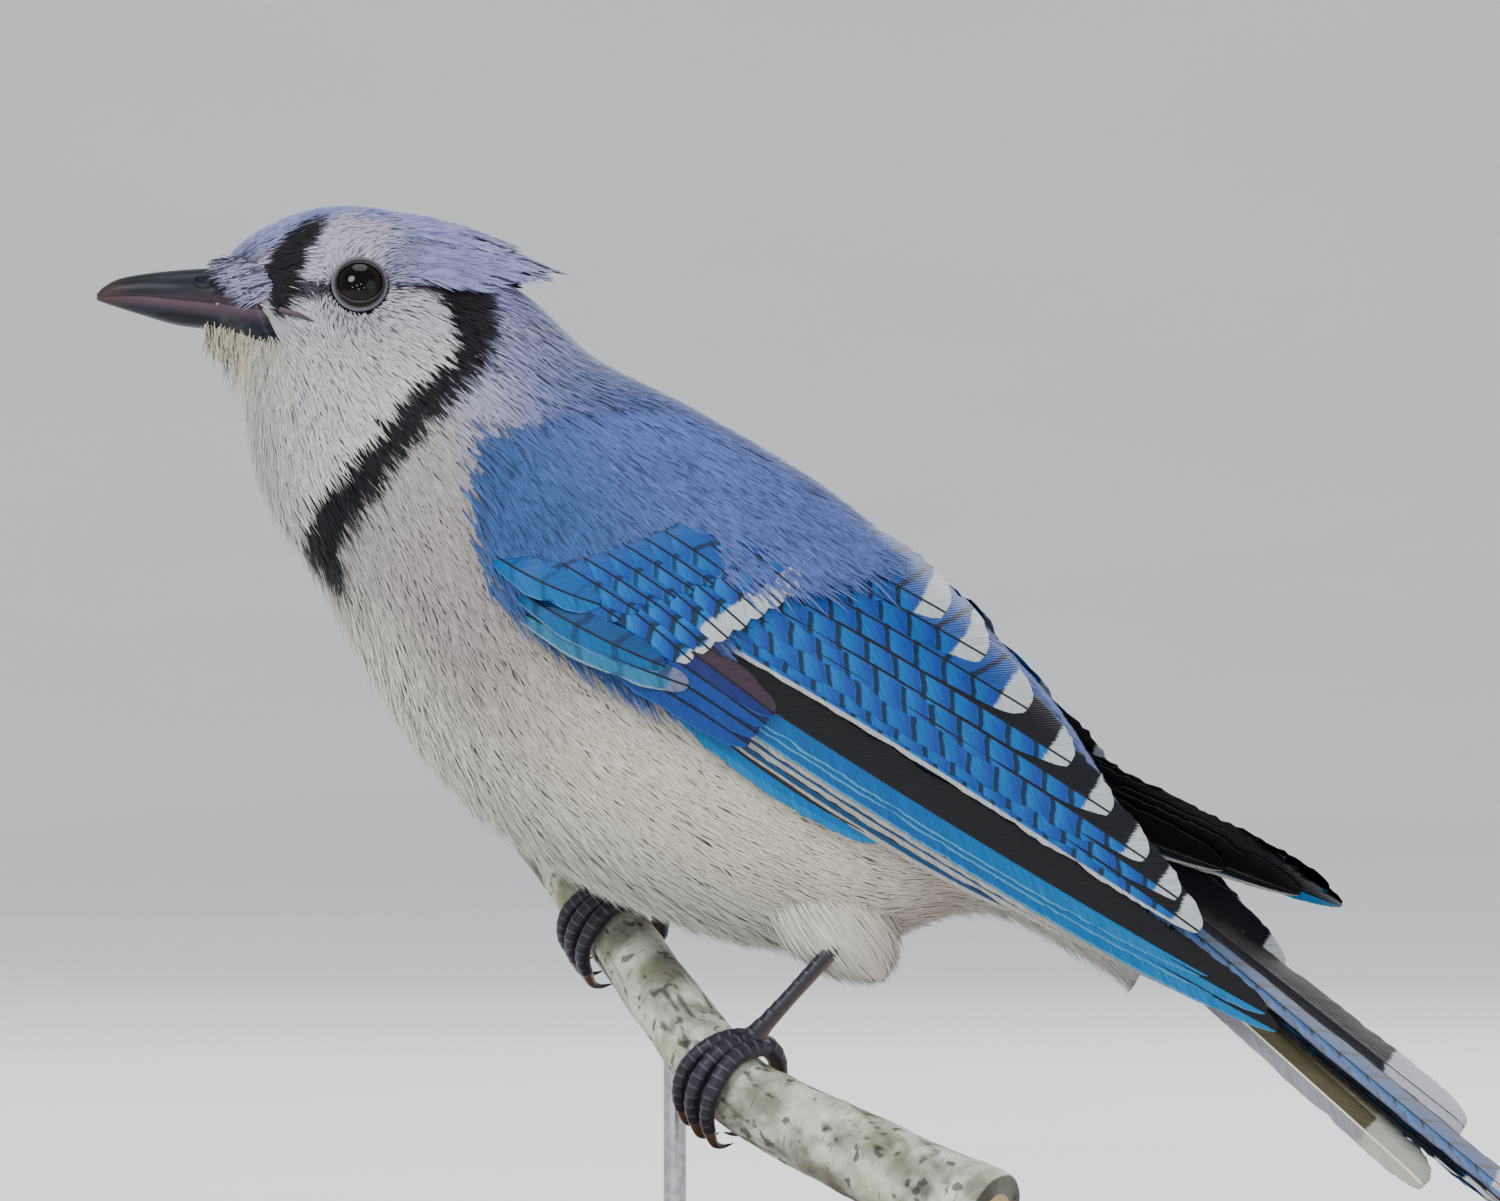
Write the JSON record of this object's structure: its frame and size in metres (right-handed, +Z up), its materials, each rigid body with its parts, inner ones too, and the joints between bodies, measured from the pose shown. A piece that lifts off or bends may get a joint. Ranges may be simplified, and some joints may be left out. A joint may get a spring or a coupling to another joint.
{
  "type": "blue jay model",
  "caption": "Still life-size model of a perching jay with a swept-back crest, folded wings and a long hanging tail, gripping a cut branch held by rods on a flat base.",
  "frame": {"origin": "centre of the underside of the stand's flat base, which rests on the floor", "axes": "+Z up, -X the way the bird faces, -Y the bird's left side"},
  "size_m": [0.2076, 0.0954, 0.1668],
  "materials": {
    "feather_head": "soft lavender, white and black small feathers",
    "feather_neck": "soft grey-lavender feathers with a black collar",
    "feather_body": "soft pale grey and cream feathers, violet-blue on the back",
    "feather_wing": "satin blue vanes barred black with white tips",
    "feather_tail": "satin blue vanes finely barred black with white tips",
    "bill": "polished slate-black horn",
    "eye": "wet dark brown",
    "foot": "dark scaly skin",
    "claw": "smooth dark horn",
    "bark": "rough grey-green bark",
    "stand_wood": "satin varnished wood",
    "stand_metal": "brushed"
  },
  "bodies": {
    "root": {"head": "feather_head", "neck": "feather_neck", "torso": "feather_body", "tail": "feather_tail", "bill_upper": "bill", "bill_lower": "bill", "eye_left": "eye", "eye_right": "eye", "wing_left": "feather_wing", "wing_right": "feather_wing", "thigh_left": "feather_body", "thigh_right": "feather_body", "tarsus_left": "foot", "tarsus_right": "foot", "foot_left": "foot", "foot_right": "foot", "claw_left_1": "claw", "claw_left_2": "claw", "claw_left_3": "claw", "claw_left_4": "claw", "claw_right_1": "claw", "claw_right_2": "claw", "claw_right_3": "claw", "claw_right_4": "claw", "perch": "bark", "stand_base": "stand_wood", "stand_rod_inner": "stand_metal", "stand_rod_outer": "stand_metal"}
  },
  "joints": []
}
